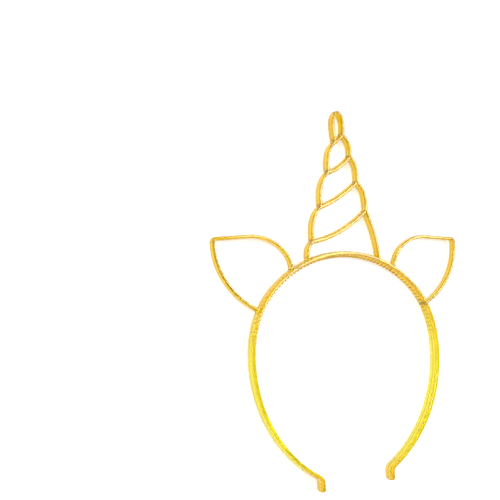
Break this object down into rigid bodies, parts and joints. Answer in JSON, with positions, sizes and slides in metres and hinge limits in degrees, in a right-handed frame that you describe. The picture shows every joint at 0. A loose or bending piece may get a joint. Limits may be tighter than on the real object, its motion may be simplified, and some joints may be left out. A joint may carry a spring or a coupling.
{
  "type": "unicorn horn headband",
  "caption": "Translucent yellow plastic headband with an openwork unicorn horn and outlined cat ears, lying on its side.",
  "frame": {"origin": "middle of the footprint, on the surface that the back face lies on", "axes": "+Y from the feet of the hoop to the tip of the horn, +X to the right across the hoop, +Z from the back face to the front face"},
  "size_m": [0.1604, 0.2068, 0.0068],
  "materials": {
    "translucent_yellow_plastic": "gloss, clear tinted moulding"
  },
  "bodies": {
    "root": {"headband": "translucent_yellow_plastic"}
  },
  "joints": []
}
